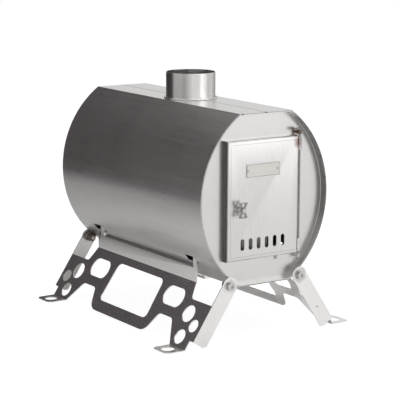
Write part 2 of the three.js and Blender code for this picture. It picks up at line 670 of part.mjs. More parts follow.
function plateHoles() {
  const window = roundedOutline([
    [WINDOW_TOP_HALF, WINDOW_TOP, WINDOW_CORNER],
    [-WINDOW_TOP_HALF, WINDOW_TOP, WINDOW_CORNER],
    [-WINDOW_BOTTOM_HALF, WINDOW_BOTTOM, WINDOW_CORNER],
    [WINDOW_BOTTOM_HALF, WINDOW_BOTTOM, WINDOW_CORNER],
  ]);
  const pairs = [1, -1].flatMap((side) => {
    const big = new THREE.Path();
    for (const end of [1, -1]) {
      const x = side * BIG_HOLE_Y + end * BIG_HOLE.flatHalf;
      const start = (-end * Math.PI) / 2;
      const endWidth = BIG_HOLE.half - BIG_HOLE.flatHalf;
      big.absellipse(x, BIG_HOLE.down, endWidth, BIG_HOLE.halfHeight, start, start + Math.PI, false, 0);
    }
    const rounds = ROUND_HOLES.map(({ inset, down, radius }) => {
      return new THREE.Path().absarc(side * (NECK_HALF - inset), down, radius, 0, 2 * Math.PI, false);
    });
    return [big, ...rounds];
  });
  return [window, ...pairs];
}

// The side flange of a leg, with the ear round the pivot: down the slope, and out from the pivot.
function flangeOutline() {
  const end = CREASE_DOWN + FLANGE_END;
  const lowZ = PIVOT_Z - FLOOR_Z - FLANGE_FOOT_GAP;
  const downAt = (out) => (lowZ + out * Math.cos(LEG_SLOPE)) / Math.sin(LEG_SLOPE);
  const outAtEnd = (end * Math.sin(LEG_SLOPE) - lowZ) / Math.cos(LEG_SLOPE);
  const shape = new THREE.Shape();
  shape.moveTo(end, PLATE_OFFSET);
  shape.lineTo(0, PLATE_OFFSET);
  shape.absarc(0, 0, EAR_RADIUS, Math.asin(PLATE_OFFSET / EAR_RADIUS), 1.5 * Math.PI, false);
  shape.lineTo(downAt(-EAR_RADIUS), -EAR_RADIUS);
  shape.lineTo(end, outAtEnd);
  shape.closePath();
  const hole = (down, out, radius) => new THREE.Path().absarc(down, out, radius, 0, 2 * Math.PI, false);
  const pivotHole = hole(0, 0, BOLT_RADIUS + RUNNING);
  const screwHole = hole(SCREW_HOLE_DOWN, SCREW_HOLE_ACROSS, SCREW_HOLE_RADIUS);
  shape.holes.push(pivotHole, screwHole);
  return shape;
}

// One folded sheet: plate, strip with two tabs, two side flanges with ears, and two foot pads.
function legFrame({ side, ear }) {
  const half = ear + LEG_SHEET;
  const outline = plateOutline(half);
  outline.holes.push(...plateHoles());
  const flat = new THREE.Matrix4().makeBasis(ALONG_BARREL, LEG_DOWN, LEG_OUT).setPosition(CREASE);
  const plate = new THREE.ExtrudeGeometry(outline, { ...SHEET_OPTIONS, curveSegments: 8 })
    .translate(0, 0, -LEG_SHEET)
    .applyMatrix4(flat);

  const [x, z] = [CREASE.x, CREASE.z];
  const strip = [legPoint(2 * LEG_SHEET, 0), [x, z], [x, z + STRIP_HEIGHT]];
  const lip = [x + LIP_RUN, z + STRIP_HEIGHT + LIP_RISE];
  const stripSheet = alongY(bentSheet([...strip, lip], -LEG_SHEET), -STRIP_HALF, STRIP_HALF);
  const tabOutline = bentSheet([[x, z + STRIP_HEIGHT / 2], [x, z + TAB_RISE]], -LEG_SHEET);
  const tabs = TAB_YS.map((y) => {
    return alongY(tabOutline, Math.max(y - TAB_WIDTH / 2, -STRIP_HALF), y + TAB_WIDTH / 2);
  });

  const turn = new THREE.Matrix4().makeBasis(LEG_DOWN, LEG_OUT, ALONG_BARREL).setPosition(LEFT_PIVOT);
  const flanges = [-half, ear].map((y) => {
    return new THREE.ExtrudeGeometry(flangeOutline(), { ...SHEET_OPTIONS, curveSegments: 10 })
      .translate(0, 0, y)
      .applyMatrix4(turn);
  });

  const [bend] = legPoint(SLOPE_LENGTH, 0);
  const padOut = bend - PAD_LENGTH;
  const padIn = bend + LEG_SHEET;
  const pads = [-1, 1].map((end) => {
    const sheet = roundedOutline([
      [padIn, end * FOOT_IN, 0],
      [padOut, end * FOOT_IN, PAD_CORNER],
      [padOut, end * NECK_HALF, PAD_CORNER],
      [padIn, end * NECK_HALF, 0],
    ]);
    const middle = (FOOT_IN + NECK_HALF) / 2;
    const [x, y] = [bend - PAD_LENGTH / 2, end * middle];
    const hole = new THREE.Path().absarc(x, y, PAD_HOLE_RADIUS, 0, 2 * Math.PI, false);
    sheet.holes.push(hole);
    return alongZ(sheet, FLOOR_Z, FLOOR_Z + LEG_SHEET);
  });

  const below = block(bend - PAD_LENGTH, 0, -half - 1, half + 1, FLOOR_Z - 2 * LEG_SHEET, FLOOR_Z);
  const frame = cut(join(plate, stripSheet, ...tabs, ...flanges, ...pads), below);
  return side < 0 ? frame : mirrored(frame);
}

// ---------- Pivots ----------
const NUT_START = BARREL_LENGTH / 2 - BRACKET_SHEET - GAP; // distances from the middle, inwards
const NUT_FINISH = NUT_START - PIVOT_NUT_HEIGHT;

// A span along Y given as distances from the middle, at the front or the rear end.
function endSpan(end, a, b) {
  return end < 0 ? [-Math.max(a, b), -Math.min(a, b)] : [Math.min(a, b), Math.max(a, b)];
}

// A plate that hangs below the shell's side and carries one pivot bolt.
function pivotBracket(side, end) {
  const x = side * PIVOT_X;
  const [y0, y1] = endSpan(end, BARREL_LENGTH / 2, BARREL_LENGTH / 2 - BRACKET_SHEET);
  const round = bar(BRACKET_RADIUS, y0, y1, x, PIVOT_Z);
  const towards = new THREE.Vector2(-side * ARC_CENTRE - x, -PIVOT_Z).normalize();
  const across = new THREE.Vector2(-towards.y, towards.x);
  const corner = (i, reach) => {
    const pivot = new THREE.Vector2(x, PIVOT_Z);
    return pivot.addScaledVector(across, i * BRACKET_RADIUS).addScaledVector(towards, reach);
  };
  const reach = 2 * BRACKET_RADIUS;
  const neckOutline = new THREE.Shape([corner(-1, 0), corner(1, 0), corner(1, reach), corner(-1, reach)]);
  const neck = alongY(neckOutline, y0, y1);
  const barrel = alongY(barrelOutline(-GAP), y0 - 1, y1 + 1, 24);
  return cut(join(round, neck), barrel, bar(BOLT_RADIUS + GAP, y0 - 1, y1 + 1, x, PIVOT_Z));
}

function pivotNut(side, end) {
  const [y0, y1] = endSpan(end, NUT_START, NUT_FINISH);
  const x = side * PIVOT_X;
  const bore = bar(BOLT_RADIUS + GAP, y0 - CUT_PAST, y1 + CUT_PAST, x, PIVOT_Z);
  return cut(bar(PIVOT_NUT_RADIUS, y0, y1, x, PIVOT_Z, 6), bore);
}

function pivotWasher(side, end, ear) {
  const near = ear + LEG_SHEET + GAP;
  const [y0, y1] = endSpan(end, near, near + PIVOT_WASHER_SHEET);
  return lyingTube(BOLT_RADIUS + GAP, PIVOT_WASHER_RADIUS, y0, y1, side * PIVOT_X, PIVOT_Z);
}

// Fills the space between the barrel and the ear of the frame that folds on the outside.
function pivotSpacer(side, end, ear) {
  const [y0, y1] = endSpan(end, BARREL_LENGTH / 2 + GAP, ear - GAP);
  return lyingTube(BOLT_RADIUS + GAP, BOLT_HEAD_RADIUS, y0, y1, side * PIVOT_X, PIVOT_Z);
}

function pivotBolt(side, end, ear) {
  const x = side * PIVOT_X;
  const under = ear + LEG_SHEET + PIVOT_WASHER_SHEET + 2 * GAP;
  const face = under + BOLT_HEAD_HEIGHT;
  const head = bar(BOLT_HEAD_RADIUS, ...endSpan(end, under, face), x, PIVOT_Z);
  const middle = under + BOLT_HEAD_HEIGHT / 2;
  const shank = bar(BOLT_RADIUS, ...endSpan(end, middle, NUT_FINISH - BOLT_END), x, PIVOT_Z);
  const socketSpan = endSpan(end, face - BOLT_SOCKET_DEPTH, face + CUT_PAST);
  const socket = bar(BOLT_SOCKET_RADIUS, ...socketSpan, x, PIVOT_Z, 6);
  return cut(join(head, shank), socket);
}

// ---------- The stove ----------
const FINISHES = {
  brushed: { color: "#a9a6a4", roughness: 0.38, metalness: 1 },
  bright: { color: "#d2cfcc", roughness: 0.3, metalness: 1 },
  legs: { color: "#8f8b89", roughness: 0.42, metalness: 1 },
  fasteners: { color: "#b3b0ac", roughness: 0.35, metalness: 1 },
  scorched: { color: "#4d4744", roughness: 0.6, metalness: 0.8 },
};

const stove = new THREE.Group();

function add(name, geometry, finish) {
  const mesh = new THREE.Mesh(geometry, new THREE.MeshStandardMaterial(FINISHES[finish]));
  mesh.name = name;
  stove.add(mesh);
}

add("barrel_shell", barrelShell(), "brushed");
add("seam_strip_front", seamStrip(ENDS.front), "brushed");
add("seam_strip_rear", seamStrip(ENDS.rear), "brushed");
add("front_end_plate", frontEndPlate(), "bright");
add("rear_end_plate", endPan(ENDS.rear), "bright");

const collarInside = COLLAR_RADIUS - COLLAR_SHEET;
const ringInside = COLLAR_RADIUS + GAP;
const ringFoot = TOP + GAP;
add(
  "flue_collar",
  uprightTube(collarInside, COLLAR_RADIUS, TOP - COLLAR_DEPTH, TOP + COLLAR_HEIGHT, 0, COLLAR_Y, 64),
  "bright",
);
add(
  "flue_collar_ring",
  uprightTube(ringInside, ringInside + RING_WIDTH, ringFoot, ringFoot + RING_HEIGHT, 0, COLLAR_Y, 64),
  "brushed",
);

add("door_panel", doorPanel(), "bright");
add("name_plate", namePlate(), "bright");
rivetXs().forEach((x, i) => add(`name_plate_rivet_${i + 1}`, rivet(x), "fasteners"));
add("air_slide", airSlide(), "brushed");
const guideEnd = DOOR_WIDTH / 2 - DOOR_EDGE - GAP;
const tabWay = SLIDE_TAB_WIDTH / 2 + GUIDE_WIDTH;
add("slide_guide_upper", slideGuide(1, DOOR_X - guideEnd, DOOR_X + guideEnd), "brushed");
add("slide_guide_lower_left", slideGuide(-1, DOOR_X - guideEnd, SLIDE_TAB_X - tabWay), "brushed");
const rightGuideStart = SLIDE_TAB_X + SLIDE_TRAVEL + tabWay;
add("slide_guide_lower_right", slideGuide(-1, rightGuideStart, DOOR_X + guideEnd), "brushed");
add("heat_shield", heatShield(), "scorched");

add("latch_wing", latchWing(), "fasteners");
add("latch_spindle", latchSpindle(), "fasteners");
const spindleBore = SPINDLE_RADIUS + GAP;
add(
  "latch_spacer",
  lyingTube(spindleBore, SPACER_RADIUS, SPACER_FRONT, SPACER_FRONT + SPACER_LENGTH, SPINDLE_X, SPINDLE_Z),
  "fasteners",
);
add(
  "latch_washer",
  lyingTube(spindleBore, LATCH_WASHER_RADIUS, LATCH_WASHER_FRONT, FRONT - GAP, SPINDLE_X, SPINDLE_Z),
  "fasteners",
);
add("latch_cam", latchCam(), "scorched");
const latchNut = bar(LATCH_NUT_RADIUS, NUT_FRONT, NUT_BACK, SPINDLE_X, SPINDLE_Z, 6);
const nutBore = bar(spindleBore, NUT_FRONT - CUT_PAST, NUT_BACK + CUT_PAST, SPINDLE_X, SPINDLE_Z);
add("latch_nut", cut(latchNut, nutBore), "scorched");

add("hinge_pin", hingePin(), "fasteners");
add("hinge_lug_upper", hingeLug(1), "bright");
add("hinge_lug_lower", hingeLug(-1), "bright");
add("door_knuckle_upper", doorKnuckle(1), "bright");
add("door_knuckle_lower", doorKnuckle(-1), "bright");

for (const [name, leg] of Object.entries(LEGS)) {
  add(`${name}_leg_frame`, legFrame(leg), "legs");
  for (const [place, end] of Object.entries(ENDS)) {
    const spot = `${name}_${place}`;
    add(`pivot_bracket_${spot}`, pivotBracket(leg.side, end), "scorched");
    add(`pivot_nut_${spot}`, pivotNut(leg.side, end), "scorched");
    add(`pivot_washer_${spot}`, pivotWasher(leg.side, end, leg.ear), "fasteners");
    add(`pivot_bolt_${spot}`, pivotBolt(leg.side, end, leg.ear), "fasteners");
    if (leg.ear > RIGHT_EAR) add(`pivot_spacer_${spot}`, pivotSpacer(leg.side, end, leg.ear), "fasteners");
  }
}

// The stove stands on the floor, with its origin below the middle of its box.
const box = new THREE.Box3().setFromObject(stove);
const middle = box.getCenter(new THREE.Vector3());
stove.position.set(-middle.x, -middle.y, -box.min.z);

export default stove;
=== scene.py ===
# %% [markdown]
# # A tent wood stove in brushed stainless steel
# A tent stove is folded and welded from thin stainless sheet. The packed model gives every piece at its
# real size and place, so this lesson adds no pieces. It gives each sheet, rod and bolt its finish: rolled
# grain on the barrel, a satin door, leg frames that mirror a dark card, and heat marks near the fire.

import math

import bpy
from mathutils import Matrix, Vector


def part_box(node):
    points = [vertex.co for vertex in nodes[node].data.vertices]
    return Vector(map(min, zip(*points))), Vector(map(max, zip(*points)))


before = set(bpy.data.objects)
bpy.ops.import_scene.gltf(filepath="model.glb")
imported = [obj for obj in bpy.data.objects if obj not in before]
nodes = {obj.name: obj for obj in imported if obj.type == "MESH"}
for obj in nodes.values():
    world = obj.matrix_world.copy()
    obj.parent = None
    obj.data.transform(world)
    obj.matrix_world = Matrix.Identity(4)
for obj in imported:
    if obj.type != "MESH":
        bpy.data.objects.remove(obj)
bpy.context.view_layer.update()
print("CAD nodes:", len(nodes))

# %% [markdown]
# ## Where the camera looks
# A camera could be aimed by a constraint, but a view that was measured is easier to write as three angles.
# The turn, the tilt and the roll give three directions: ahead, right and up.

# %% Work out the camera's directions
CAMERA_TURN = math.radians(-33.76)
CAMERA_TILT = math.radians(10.72)
CAMERA_ROLL = math.radians(0.21)

ahead = Vector((
    -math.sin(CAMERA_TURN) * math.cos(CAMERA_TILT),
    math.cos(CAMERA_TURN) * math.cos(CAMERA_TILT),
    -math.sin(CAMERA_TILT),
))
level_right = ahead.cross(Vector((0, 0, 1))).normalized()
level_up = level_right.cross(ahead)
right = level_right * math.cos(CAMERA_ROLL) + level_up * math.sin(CAMERA_ROLL)
up = level_up * math.cos(CAMERA_ROLL) - level_right * math.sin(CAMERA_ROLL)
print("camera looks along", tuple(round(part, 3) for part in ahead))

# %% [markdown]
# ## The camera
# It stands to the left of the door and higher than the flue collar. A long lens from far away keeps the
# barrel's far end almost as high as its near end. Its place is in metres from the stove's own origin on
# the floor.

# %% Place the camera
CAMERA_PLACE = Vector((-1.4048, -2.1318, 0.6688))
LENS_MM = 142.4
SENSOR_MM = 36
CAMERA_REACH = 50

camera_data = bpy.data.cameras.new("camera")
camera_data.lens = LENS_MM
camera_data.sensor_width = SENSOR_MM
camera_data.clip_end = CAMERA_REACH
camera = bpy.data.objects.new("camera", camera_data)
bpy.context.collection.objects.link(camera)
camera_axes = Matrix((right, up, -ahead)).transposed().to_4x4()
camera.matrix_world = Matrix.Translation(CAMERA_PLACE) @ camera_axes
bpy.context.scene.camera = camera
bpy.context.scene.view_settings.view_transform = "Standard"
print("camera at", tuple(round(part, 4) for part in CAMERA_PLACE), "lens", LENS_MM)

# %% [markdown]
# ## Nodes in a few words
# Materials are easier to read when each node is made and wired in one line. `Wiring` adds a node, sets
# its plain values and links the sockets that are given as keyword arguments. An input is named by its
# label, with an underscore for a space, or by its number, as in `i0`.

# %% A helper that makes and links nodes
class Wiring:
    def __init__(self, tree):
        self.tree = tree
        tree.nodes.clear()

    def feed(self, socket, value):
        if isinstance(value, bpy.types.NodeSocket):
            self.tree.links.new(value, socket)
        else:
            socket.default_value = value

    def node(self, kind, settings=None, **inputs):
        made = self.tree.nodes.new(kind)
        for name, value in (settings or {}).items():
            setattr(made, name, value)
        for name, value in inputs.items():
            numbered = name[1:].isdigit()
            self.feed(made.inputs[int(name[1:]) if numbered else name.replace("_", " ")], value)
        return made

    def math(self, operation, a, b=0.0, clamp=False):
        settings = {"operation": operation, "use_clamp": clamp}
        return self.node("ShaderNodeMath", settings, i0=a, i1=b).outputs[0]

    def vector(self, operation, a, b):
        return self.node("ShaderNodeVectorMath", {"operation": operation}, i0=a, i1=b).outputs

    def mix(self, factor, a, b):
        return self.node("ShaderNodeMix", {"data_type": "RGBA"}, i0=factor, i6=a, i7=b).outputs[2]

    def ramp_up(self, value, low, high):
        """0 below low, 1 above high and even in between."""
        return self.node("ShaderNodeMapRange", Value=value, From_Min=low, From_Max=high).outputs[0]


print("node helper:", [name for name in vars(Wiring) if not name.startswith("_")])

# %% [markdown]
# ## Warm greys
# Stainless steel isn't quite neutral: it is a trace warmer, and more so after heat. One helper
# writes such a grey, so that each finish below needs only a level and a warmth.

# %% A helper for the colour of steel
def grey(level, warmth=0.0):
    return (level * (1 + warmth), level, level * (1 - warmth), 1)


print("mid grey, a little warm:", grey(0.5, 0.02))

# %% [markdown]
# ## The grain of rolled sheet
# Stainless sheet is rolled and then brushed with long belts, which leaves fine lines in one direction.
# The lines could be painted, but noise that is stretched along the sheet needs no picture. Fine and
# coarse lines together keep the grain from looking printed.

# %% Stretch noise into lines
FINE_SHARE, COARSE_SHARE = 0.6, 0.4
COARSE_SCALE = 0.18


def grain_lines(w, place, stretch):
    """Noise from 0 to 1, drawn out into fine and coarse lines."""
    stretched = w.vector("MULTIPLY", place, stretch)[0]
    fine = w.node("ShaderNodeTexNoise", Vector=stretched, Scale=1.0, Detail=3.0, Roughness=0.6).outputs[0]
    drawn = w.node("ShaderNodeVectorMath", {"operation": "SCALE"}, i0=stretched, Scale=COARSE_SCALE)
    coarse = w.node("ShaderNodeTexNoise", Vector=drawn.outputs[0], Scale=1.0, Detail=2.0).outputs[0]
    return w.math("ADD", w.math("MULTIPLY", fine, FINE_SHARE), w.math("MULTIPLY", coarse, COARSE_SHARE))


print("fine and coarse shares:", FINE_SHARE, COARSE_SHARE)

# %% [markdown]
# ## One grain for every sheet
# A node group is a part of a material that others can share. This one puts out how light the steel is,
# how much rougher or smoother than usual, and how high its surface lies. A slow cloud of noise, which
# isn't stretched, adds the faint unevenness that handling leaves.

# %% Build the grain group
VECTOR, FLOAT = "NodeSocketVector", "NodeSocketFloat"
CLOUD_SCALE = 14.0
CLOUD_TONE = 0.06
CLOUD_ROUGHNESS = 0.05
LINE_ROUGHNESS = 0.9


def grain_group():
    group = bpy.data.node_groups.new("rolled_grain", "ShaderNodeTree")
    group.interface.new_socket("Stretch", in_out="INPUT", socket_type=VECTOR)
    group.interface.new_socket("Contrast", in_out="INPUT", socket_type=FLOAT)
    for name in ("Tone", "Roughness Shift", "Height"):
        group.interface.new_socket(name, in_out="OUTPUT", socket_type=FLOAT)
    w = Wiring(group)
    given = w.node("NodeGroupInput").outputs
    place = w.node("ShaderNodeTexCoord").outputs["Object"]
    cloud = w.node("ShaderNodeTexNoise", Vector=place, Scale=CLOUD_SCALE, Detail=3.0).outputs[0]
    lines = grain_lines(w, place, given["Stretch"])
    drawn = w.math("MULTIPLY", w.math("SUBTRACT", lines, 0.5), given["Contrast"])
    cloud_tone = w.math("ADD", 1 - CLOUD_TONE / 2, w.math("MULTIPLY", cloud, CLOUD_TONE))
    tone = w.math("MULTIPLY", w.math("ADD", 1.0, drawn), cloud_tone)
    cloud_shift = w.math("MULTIPLY", w.math("SUBTRACT", cloud, 0.5), CLOUD_ROUGHNESS)
    shift = w.math("ADD", w.math("MULTIPLY", drawn, LINE_ROUGHNESS), cloud_shift)
    w.node("NodeGroupOutput", i0=tone, i1=shift, i2=lines)
    return group


GRAIN = grain_group()
print("grain group sockets:", [socket.name for socket in GRAIN.interface.items_tree])

# %% [markdown]
# ## Marks are masks
# Soot, heat colour and pressed lines each cover only a part of a piece. A mask says where: 1 on the mark
# and 0 off it. Each kind of mark is a node group that reads the place in the piece's own space, so it can
# be laid on any steel.

# %% A helper that builds a mask group
def mask_group(name, sockets, build):
    group = bpy.data.node_groups.new(name, "ShaderNodeTree")
    for socket, kind in sockets:
        group.interface.new_socket(socket, in_out="INPUT", socket_type=kind)
    group.interface.new_socket("Mask", in_out="OUTPUT", socket_type=FLOAT)
    w = Wiring(group)
    given = w.node("NodeGroupInput").outputs
    place = w.node("ShaderNodeTexCoord").outputs["Object"]
    w.node("NodeGroupOutput", i0=build(w, given, place))
    print("mask group", name, "takes", [socket for socket, kind in sockets])
    return group


# %% [markdown]
# ## Heat marks
# Steel near the fire turns straw yellow and then brown. The marks sit round a few places, such as the
# hinge and the pivot bolts. The mask falls from 1 at such a place to 0 at its reach, and noise in the
# distance gives it an uneven edge.

# %% Build the mask for heat marks
HEAT_SCALE = 90.0
HEAT_UNEVEN = 0.9


def heat_mark(w, given, place):
    uneven = w.node("ShaderNodeTexNoise", Vector=place, Scale=HEAT_SCALE, Detail=4.0).outputs[0]
    away = w.vector("DISTANCE", place, given["Middle"])["Value"]
    share = w.math("DIVIDE", away, given["Reach"])
    share = w.math("ADD", share, w.math("MULTIPLY", w.math("SUBTRACT", uneven, 0.5), HEAT_UNEVEN))
    return w.math("SUBTRACT", 1.0, share, clamp=True)


HEAT = mask_group("heat_mark", [("Middle", VECTOR), ("Reach", FLOAT)], heat_mark)

# %% [markdown]
# ## Pressed lines
# The door's face has a line pressed round it, and the name plate has one round its edge. A line of shade
# is enough at this size. The mask is 1 along a rectangle in X and Z, at an inset from its edges.

# %% Build the mask for a line round a face
def frame_line(w, given, place):
    offset = w.vector("SUBTRACT", place, given["Middle"])[0]
    size = w.node("ShaderNodeVectorMath", {"operation": "ABSOLUTE"}, i0=offset).outputs[0]
    past = w.node("ShaderNodeSeparateXYZ", Vector=w.vector("SUBTRACT", size, given["Half Size"])[0]).outputs
    reach = w.math("MAXIMUM", past["X"], past["Z"])
    off_line = w.math("ABSOLUTE", w.math("ADD", reach, given["Inset"]))
    return w.math("SUBTRACT", 1.0, w.math("DIVIDE", off_line, given["Width"]), clamp=True)


LINE = mask_group("frame_line", [("Middle", VECTOR), ("Half Size", VECTOR), ("Inset", FLOAT),
                                 ("Width", FLOAT)], frame_line)

# %% [markdown]
# ## Soot inside the barrel
# The barrel is one sheet, so its inside and its outside share a material. Soot belongs only inside. The
# mask is 1 where the place lies deeper than the outer skin: the sides are round, and the top and the
# bottom are flat. The sides' radius and the skin's depth are written here, and the rest is read from the
# frame.

# %% Build the mask for the barrel's inside
SIDE_RADIUS = 0.161
SKIN = 0.0007
barrel_low, barrel_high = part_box("barrel_shell")
barrel_middle = (barrel_low.z + barrel_high.z) / 2
barrel_half_height = (barrel_high.z - barrel_low.z) / 2


def inside_barrel(w, given, place):
    axes = w.node("ShaderNodeSeparateXYZ", Vector=place).outputs
    side = w.math("ADD", w.math("ABSOLUTE", axes["X"]), SIDE_RADIUS - barrel_high.x)
    height = w.math("SUBTRACT", axes["Z"], barrel_middle)
    squares = w.math("ADD", w.math("MULTIPLY", side, side), w.math("MULTIPLY", height, height))
    in_sides = w.math("LESS_THAN", w.math("SQRT", squares), SIDE_RADIUS - SKIN)
    in_flats = w.math("LESS_THAN", w.math("ABSOLUTE", height), barrel_half_height - SKIN)
    return w.math("MULTIPLY", in_sides, in_flats)


INSIDE = mask_group("inside_barrel", [], inside_barrel)

# %% [markdown]
# ## Shade inside the front rim
# The end plate sits back behind the front rim, and the right part of the rim's inside gets painted shade.
# The mask grows towards the right and towards the top, and stays in front of the plate's face.

# %% Build the mask for the rim's inside
SHADE_START, SHADE_FULL = 0.048, 0.062
SHADE_LOW, SHADE_HIGH = 0.12, 0.19
SHADE_LEAST = 0.35


# Painted shade inside the front rim, strongest on the right part and towards the top.
def paint_rim_shade(w, given, place):
    axes = w.node("ShaderNodeSeparateXYZ", Vector=place).outputs
    right_part = w.ramp_up(axes["X"], SHADE_START, SHADE_FULL)
    in_front = w.math("LESS_THAN", axes["Y"], given["Face"])
    rising = w.math("MULTIPLY", w.ramp_up(axes["Z"], SHADE_LOW, SHADE_HIGH), 1 - SHADE_LEAST)
    return w.math("MULTIPLY", w.math("MULTIPLY", right_part, in_front), w.math("ADD", SHADE_LEAST, rising))


RIM_SHADE_GROUP = mask_group("paint_rim_shade", [("Face", FLOAT)], paint_rim_shade)

# %% [markdown]
# ## Masks that grow along one direction
# The front end plate is sooty at the back and clean on its face, and the door's side has painted shade that
# makes it darker than its front. Both need only a ramp along one axis, from a start to an end.

# %% Build the masks that follow an axis
def along(axis):
    def build(w, given, place):
        axes = w.node("ShaderNodeSeparateXYZ", Vector=place).outputs
        return w.ramp_up(axes[axis], given["Start"], given["End"])
    return build


RAMP_SOCKETS = [("Start", FLOAT), ("End", FLOAT)]
BEHIND = mask_group("behind", RAMP_SOCKETS, along("Y"))
RIGHTWARD = mask_group("rightward", RAMP_SOCKETS, along("X"))

# %% [markdown]
# ## Marks and soot on a steel
# A mark is a mask with its values, the colour that it blends in, and how strongly. Soot does more: it
# hides the metal, so it also takes the shine away and makes the surface rough.

# %% Helpers that lay marks and soot on a colour
SOOT = (0.012, 0.011, 0.010, 1)
SOOT_ROUGHNESS = 0.8


def with_marks(w, colour, marks):
    for group, settings, tint, strength in marks:
        mask = w.node("ShaderNodeGroup", {"node_tree": group}, **settings).outputs["Mask"]
        colour = w.mix(w.math("MULTIPLY", mask, strength), colour, tint)
    return colour


def with_soot(w, colour, rough, soot):
    group, settings = soot
    mask = w.node("ShaderNodeGroup", {"node_tree": group}, **settings).outputs["Mask"]
    rough = w.math("ADD", rough, w.math("MULTIPLY", mask, SOOT_ROUGHNESS), clamp=True)
    return w.mix(mask, colour, SOOT), rough, w.math("SUBTRACT", 1.0, mask)


print("soot colour:", SOOT[:3])

# %% [markdown]
# ## Steel finishes
# Each finish is the same recipe with other values: a base grey, a roughness, the direction of the grain
# and a list of marks. The shader itself stays in the material, and the shared groups only feed it. The
# stretches say about how many lines cross a metre along X, Y and Z.

# %% Make a steel material
ALONG_BARREL = (1000, 22, 1000)
UPRIGHT = (1300, 1300, 10)
ACROSS = (9, 1100, 1100)
EVEN = (700, 700, 700)
GRAIN_DEPTH = 0.0001


def steel(name, level, roughness, stretch, contrast=0.3, warmth=0.015, bump=0.25, marks=(), soot=None,
          bands=None):
    material = bpy.data.materials.new(name)
    material.use_nodes = True
    w = Wiring(material.node_tree)
    grain = w.node("ShaderNodeGroup", {"node_tree": GRAIN}, Stretch=stretch, Contrast=contrast).outputs
    toned = w.node("ShaderNodeVectorMath", {"operation": "SCALE"}, i0=grey(level, warmth)[:3],
                   Scale=grain["Tone"]).outputs[0]
    colour = with_marks(w, bands(w, toned) if bands else toned, marks)
    rough = w.math("ADD", roughness, grain["Roughness Shift"], clamp=True)
    shine = 1.0
    if soot:
        colour, rough, shine = with_soot(w, colour, rough, soot)
    relief = w.node("ShaderNodeBump", Strength=bump, Distance=GRAIN_DEPTH, Height=grain["Height"])
    shader = w.node("ShaderNodeBsdfPrincipled", Base_Color=colour, Metallic=shine, Roughness=rough,
                    Normal=relief.outputs[0])
    w.node("ShaderNodeOutputMaterial", Surface=shader.outputs[0])
    print("made", name, "with", len(marks), "marks")
    return material


# %% [markdown]
# ## Smooth curves on the exact pieces
# The frame's pieces are faceted, and a rolled side has to look rolled. Shading every face smooth would
# round the folds too. A small geometry node tree shades smooth only the edges that are flatter than a
# limit. It is a modifier, so the pieces' own meshes stay as they are.

# %% Build the tree that shades by angle
SHARP_ANGLE = math.radians(28)
WELD_DISTANCE = 0.000002


def shading_tree():
    tree = bpy.data.node_groups.new("shade_by_angle", "GeometryNodeTree")
    tree.interface.new_socket("Geometry", in_out="INPUT", socket_type="NodeSocketGeometry")
    tree.interface.new_socket("Geometry", in_out="OUTPUT", socket_type="NodeSocketGeometry")
    w = Wiring(tree)
    given = w.node("NodeGroupInput").outputs[0]
    welded = w.node("GeometryNodeMergeByDistance", Geometry=given, Distance=WELD_DISTANCE).outputs[0]
    smooth = w.node("GeometryNodeSetShadeSmooth", {"domain": "FACE"}, Geometry=welded, Shade_Smooth=True)
    angle = w.node("GeometryNodeInputMeshEdgeAngle").outputs["Unsigned Angle"]
    steep = w.node("FunctionNodeCompare", {"data_type": "FLOAT", "operation": "GREATER_THAN"},
                   i0=angle, i1=SHARP_ANGLE)
    sharp = w.node("GeometryNodeSetShadeSmooth", {"domain": "EDGE"}, Geometry=smooth.outputs[0],
                   Selection=steep.outputs[0], Shade_Smooth=False)
    w.node("NodeGroupOutput", i0=sharp.outputs[0])
    return tree


SHADE_BY_ANGLE = shading_tree()
print("edges stay sharp from", round(math.degrees(SHARP_ANGLE)), "degrees")

# %% [markdown]
# ## Deburred edges
# Cut sheet has its sharp edges taken off, and the narrow facet that is left catches the light. A bevel
# modifier adds it after the shading. It is only 0.2 mm wide, so that holes and slots keep their shape.

# %% A helper that gives a piece its finish
DEBURR = 0.0002


def finish_node(name, material):
    piece = nodes[name]
    piece.data.materials.clear()
    piece.data.materials.append(material)
    piece.modifiers.new("shade_by_angle", "NODES").node_group = SHADE_BY_ANGLE
    edge = piece.modifiers.new("deburr", "BEVEL")
    edge.width = DEBURR
    edge.segments = 2
    edge.limit_method = "ANGLE"
    edge.angle_limit = SHARP_ANGLE
    edge.harden_normals = True


print("bevel width:", DEBURR)

# %% [markdown]
# ## Round marks
# A weld leaves a small black spot, and a hot bolt a larger brown one. Both are the heat mask with another
# reach and colour. Their places are measured from the pieces' boxes in the frame.

# %% Helpers for round marks
HEAT_BROWN = (0.16, 0.075, 0.03, 1)
BLACK = (0.008, 0.007, 0.006, 1)


def middle_and_half(name):
    low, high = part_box(name)
    return (low + high) / 2, (high - low) / 2


def spot(middle, reach, tint=HEAT_BROWN):
    return (HEAT, {"Middle": tuple(middle), "Reach": reach}, tint, 1.0)


print("heat brown:", HEAT_BROWN[:3], "weld black:", BLACK[:3])

# %% [markdown]
# ## The barrel
# The barrel is one bright rolled sheet, with its grain along its length. A dark line follows the seam on
# its flat top. Spot welds hold the end plates in the rims, and their places round the front rim are given
# in millimetres from the barrel's middle.

# %% Make the barrel's steel
RIM_WELDS = [(85.2, 93.7), (105.3, 55.9), (113.9, 22.4), (111.7, -29.3), (99.2, -65.9), (80.9, -96.4),
             (0.2, 134.2), (-43.7, 133.2)]
WELD_REACH = 0.0032
SEAM_HALF_SIZE = (0, 1, 0.01)
SEAM_LINE_WIDTH = 0.0016

